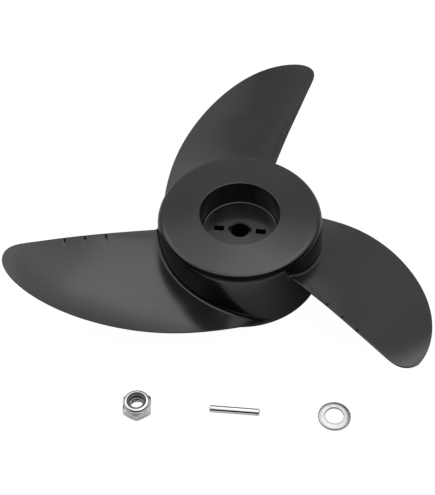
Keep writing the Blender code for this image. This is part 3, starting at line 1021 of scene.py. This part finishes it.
# %% Nut body
NUT_FLATS = 14.3 * MM
NUT_HEX_HEIGHT = 5.3 * MM
NUT_HEIGHT = 7.6 * MM
SEAT_CHAMFER = (0.3 * MM, 0.1 * MM)
BLANK_MARGIN = 0.2 * MM
HEX_CHAMFER_SHARE = 0.7
HEX_SHARP_ANGLE = 25
NUT_THREAD_RADIUS = 3.5 * MM
THREAD_PITCH = 1.5 * MM
THREAD_DEPTH = 0.5 * MM
THREAD_CREST = 0.2 * MM
THREAD_TURNS = 3
COLLAR_RADIUS = 6.95 * MM
COLLAR_ROUNDING = 1.6 * MM
COLLAR_ARC_STEPS = 12
COLLAR_MOUTH_RADIUS = 5 * MM
COLLAR_GROOVE = 0.3 * MM
MOUTH_ROUNDING = 0.3 * MM
MOUTH_ARC_STEPS = 4
RING_SEAT = 4.6 * MM
RING_HEIGHT = 2.1 * MM
RING_RADIUS = 5.9 * MM
SEAT_GAP = 0.15 * MM
NUT_SEGMENTS = 96
NUT_TURN = math.radians(-90)
hex_flat, hex_corner = NUT_FLATS / 2, NUT_FLATS / math.sqrt(3)


def hex_profile():
    """Section of the blank's outside, from the hole's foot outwards and up to the collar."""
    chamfer = hex_corner - hex_flat
    blank = hex_corner + BLANK_MARGIN
    inset, lift = SEAT_CHAMFER
    profile = [(NUT_THREAD_RADIUS + THREAD_DEPTH, 0), (hex_flat - inset, 0), (hex_flat - lift, lift)]
    profile += [(blank, chamfer * HEX_CHAMFER_SHARE), (blank, NUT_HEX_HEIGHT - chamfer)]
    return profile + [(hex_flat - BLANK_MARGIN, NUT_HEX_HEIGHT)]


def collar_profile():
    """Section of the collar over the ring, from its groove to the ring's seat."""
    groove_radius, seat_radius = COLLAR_RADIUS - COLLAR_GROOVE, RING_RADIUS + SEAT_GAP
    ring_top = RING_SEAT + RING_HEIGHT + SEAT_GAP
    profile = [(groove_radius, NUT_HEX_HEIGHT), (groove_radius, NUT_HEX_HEIGHT + COLLAR_GROOVE / 2)]
    profile += [(COLLAR_RADIUS, NUT_HEX_HEIGHT + COLLAR_GROOVE)]
    profile += arc((COLLAR_RADIUS - COLLAR_ROUNDING, NUT_HEIGHT - COLLAR_ROUNDING),
                   COLLAR_ROUNDING, 0, 90, COLLAR_ARC_STEPS)
    profile += arc((COLLAR_MOUTH_RADIUS + MOUTH_ROUNDING, NUT_HEIGHT - MOUTH_ROUNDING),
                   MOUTH_ROUNDING, 90, 180, MOUTH_ARC_STEPS)
    return profile + [(COLLAR_MOUTH_RADIUS, ring_top), (seat_radius, ring_top),
                      (seat_radius, RING_SEAT - SEAT_GAP)]


def thread_profile():
    """Section of the threaded hole, from the ring's seat down."""
    seat, root = RING_SEAT - SEAT_GAP, NUT_THREAD_RADIUS + THREAD_DEPTH
    profile = [(root, seat)]
    for number in range(THREAD_TURNS):
        crest = seat - THREAD_CREST - number * THREAD_PITCH
        profile += [(NUT_THREAD_RADIUS, crest), (NUT_THREAD_RADIUS, crest - THREAD_CREST)]
        profile += [(root, crest - THREAD_PITCH / 2)]
    return profile


def hexagon(place):
    """A six-sided bar, longer than the nut, that trims the blank."""
    bm = bmesh.new()
    turns = [math.radians(60 * k) for k in range(6)]
    bar(bm, [[Vector((hex_corner * math.cos(a), hex_corner * math.sin(a), height)) for a in turns]
             for height in (-CUT_MARGIN, NUT_HEIGHT + CUT_MARGIN)])
    return add_piece("hexagon", bm, place, NUT_TURN)


def nut_body():
    """The blank, trimmed to a hexagon with a corner towards the camera."""
    place = middle_of("lock_nut")
    profile = hex_profile() + collar_profile() + thread_profile()
    piece = turned("lock_nut_body", profile, NUT_SEGMENTS, place, NUT_TURN)
    apply_boolean(piece, [hexagon(place)], "INTERSECT", HEX_SHARP_ANGLE)
    return piece


finish_piece(nut_body(), "lock_nut", TURNED_STEEL)

# %% [markdown]
# ## The nylon ring
#
# The ring grips the shaft's thread so that the nut can't work loose. It is turned as one
# plain ring, softened at the upper edge of its hole, and a hair smaller than its seat.

# %% Nylon ring
RING_HOLE_RADIUS = 3.55 * MM
RING_ROUNDING = 0.4 * MM
RING_ARC_STEPS = 5


def nut_ring():
    """The ring, on its seat in the collar."""
    top = RING_SEAT + RING_HEIGHT
    profile = [(RING_HOLE_RADIUS, RING_SEAT), (RING_RADIUS, RING_SEAT), (RING_RADIUS, top)]
    profile += arc((RING_HOLE_RADIUS + RING_ROUNDING, top - RING_ROUNDING),
                   RING_ROUNDING, 90, 180, RING_ARC_STEPS)
    return turned("lock_nut_ring", profile, NUT_SEGMENTS, middle_of("nut_nylon_ring"))


finish_piece(nut_ring(), "nut_nylon_ring", NYLON)

# %% [markdown]
# ## The drive pin
#
# The pin drives the propeller on its shaft. It is ground bar with small chamfers, so four
# rings along X are enough, and it lies slightly turned, as it was put down.

# %% Drive pin
PIN_LENGTH = 26 * MM
PIN_RADIUS = 1.85 * MM
PIN_CHAMFER = 0.4 * MM
PIN_SEGMENTS = 64
PIN_SHARP_ANGLE = 30
PIN_TURN = math.radians(-5.5)


def drive_pin():
    """A straight bar along X with chamfered ends, resting on the table."""
    half, tip = PIN_LENGTH / 2, PIN_RADIUS - PIN_CHAMFER
    steps = ((-half, tip), (PIN_CHAMFER - half, PIN_RADIUS),
             (half - PIN_CHAMFER, PIN_RADIUS), (half, tip))
    angles = [2 * math.pi * k / PIN_SEGMENTS for k in range(PIN_SEGMENTS)]
    bm = bmesh.new()
    bar(bm, [[Vector((x, r * math.cos(a), PIN_RADIUS + r * math.sin(a))) for a in angles]
             for x, r in steps])
    return add_piece("drive_pin_body", bm, middle_of("drive_pin"), PIN_TURN, PIN_SHARP_ANGLE)


finish_piece(drive_pin(), "drive_pin", TURNED_STEEL)

# %% [markdown]
# ## The washer
#
# The washer was stamped from sheet. The die rolled its upper edge over and left a sharp
# corner below, so its upper edge is a quarter of an ellipse and not a small round.

# %% Washer
WASHER_RADIUS = 8.5 * MM
WASHER_HOLE_RADIUS = 4.85 * MM
WASHER_THICKNESS = 1.5 * MM
WASHER_ROLL = (2.2 * MM, 0.9 * MM)
WASHER_ROLL_STEPS = 10
INNER_ROUNDING = 0.3 * MM
INNER_ARC_STEPS = 4
WASHER_SEGMENTS = 128


def washer():
    """A turned ring with a rolled upper edge and a small round at its hole."""
    inner, outer, top = WASHER_HOLE_RADIUS, WASHER_RADIUS, WASHER_THICKNESS
    roll, drop = WASHER_ROLL
    quarter = [math.radians(90 * i / WASHER_ROLL_STEPS) for i in range(WASHER_ROLL_STEPS + 1)]
    profile = [(inner, 0), (outer, 0)]
    profile += [(outer - roll + roll * math.cos(a), top - drop + drop * math.sin(a)) for a in quarter]
    profile += arc((inner + INNER_ROUNDING, top - INNER_ROUNDING),
                   INNER_ROUNDING, 90, 180, INNER_ARC_STEPS)
    return turned("flat_washer_body", profile, WASHER_SEGMENTS, middle_of("flat_washer"))


finish_piece(washer(), "flat_washer", STAMPED_STEEL)
